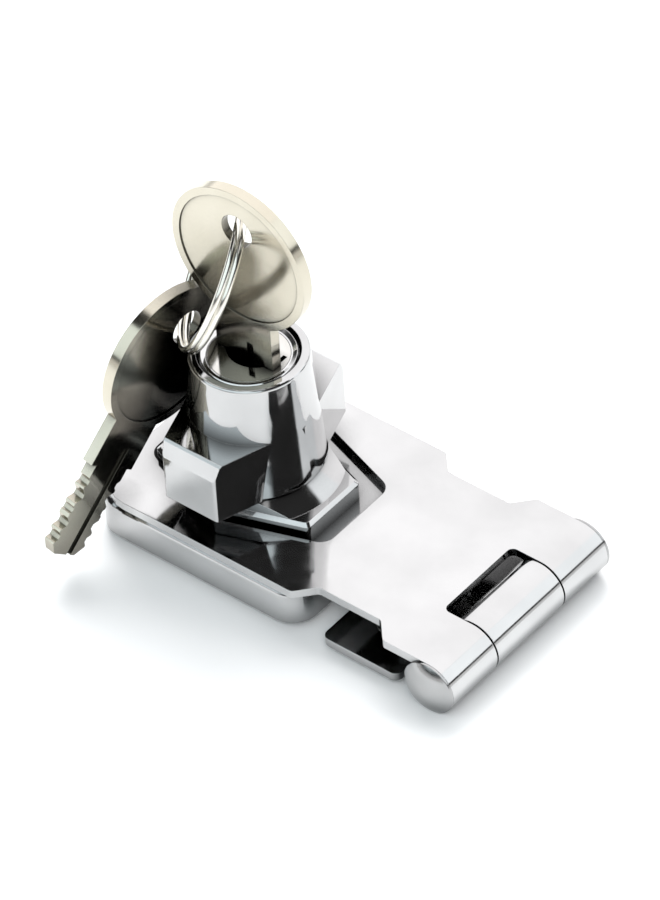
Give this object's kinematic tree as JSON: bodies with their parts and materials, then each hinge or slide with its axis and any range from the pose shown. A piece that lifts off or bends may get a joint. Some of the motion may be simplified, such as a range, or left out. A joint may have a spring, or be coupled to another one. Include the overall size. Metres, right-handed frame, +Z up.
{
  "type": "keyed locking hasp",
  "caption": "Chrome keyed locking hasp: hinged strap over a six-sided post, winged turn knob with a wafer lock, one key in the lock and a spare on a split ring.",
  "frame": {"origin": "where the axis of the lock post meets the mounting plane under the base tray's rim", "axes": "+Z up along the post and knob, away from the door; +X from the post towards the hinge; +Y across the strap, with the strap lying to the back of the post"},
  "size_m": [0.0636, 0.0476, 0.0594],
  "materials": {
    "chrome": "polished",
    "brass": "satin",
    "steel": "satin",
    "key_nickel": "satin"
  },
  "bodies": {
    "base": {"base_tray": "chrome", "lock_post": "chrome", "post_screws": "steel", "hasp_strap": "chrome", "hinge_pin": "chrome"},
    "leaf": {"hinge_leaf": "chrome"},
    "knob_body": {"knob": "chrome", "lock_shell": "chrome", "knob_washer": "steel", "knob_clip": "steel"},
    "plug_body": {"plug": "brass", "plug_clip": "steel", "cam": "steel", "wafer_1": "brass", "wafer_2": "brass", "wafer_3": "brass", "wafer_4": "brass", "wafer_5": "brass", "spring_1": "steel", "spring_2": "steel", "spring_3": "steel", "spring_4": "steel", "spring_5": "steel"},
    "bolt": {"lock_bolt": "steel"},
    "key": {"key_inserted": "key_nickel"},
    "ring": {"key_ring": "key_nickel"},
    "spare": {"key_spare": "key_nickel"}
  },
  "joints": [
    {"name": "leaf_swing", "type": "hinge", "parent": "base", "child": "leaf", "pos_m": [0.0422, 0.0015, 0.0027], "axis": [0, -1, 0], "range_deg": [0, 180]},
    {"name": "knob_turn", "type": "hinge", "parent": "base", "child": "knob_body", "pos_m": [0, 0, 0], "axis": [0, 0, -1], "range_deg": [0, 90]},
    {"name": "plug_turn", "type": "hinge", "parent": "knob_body", "child": "plug_body", "pos_m": [0, 0, 0], "axis": [0, 0, -1], "range_deg": [0, 90]},
    {"name": "bolt_slide", "type": "slide", "parent": "knob_body", "child": "bolt", "axis": [1, 0, 0], "range_m": [0, 0.00213]},
    {"name": "key_pull", "type": "slide", "parent": "plug_body", "child": "key", "axis": [0, 0, 1], "range_m": [0, 0.012]},
    {"name": "ring_swing", "type": "hinge", "parent": "key", "child": "ring", "pos_m": [0, 0, 0.05145], "axis": [0, 1, 0], "range_deg": [0, 40]},
    {"name": "spare_swing", "type": "hinge", "parent": "ring", "child": "spare", "pos_m": [-0.00961, -0.00213, 0.03082], "axis": [-0.9898, 0.1074, 0.0934], "range_deg": [0, 25]}
  ],
  "couplings": [
    {"joint": "bolt_slide", "follows": "plug_turn", "m_per_rad": 0.0013505},
    {"joint": "ring_swing", "follows": "plug_turn", "ratio": 0.4}
  ]
}
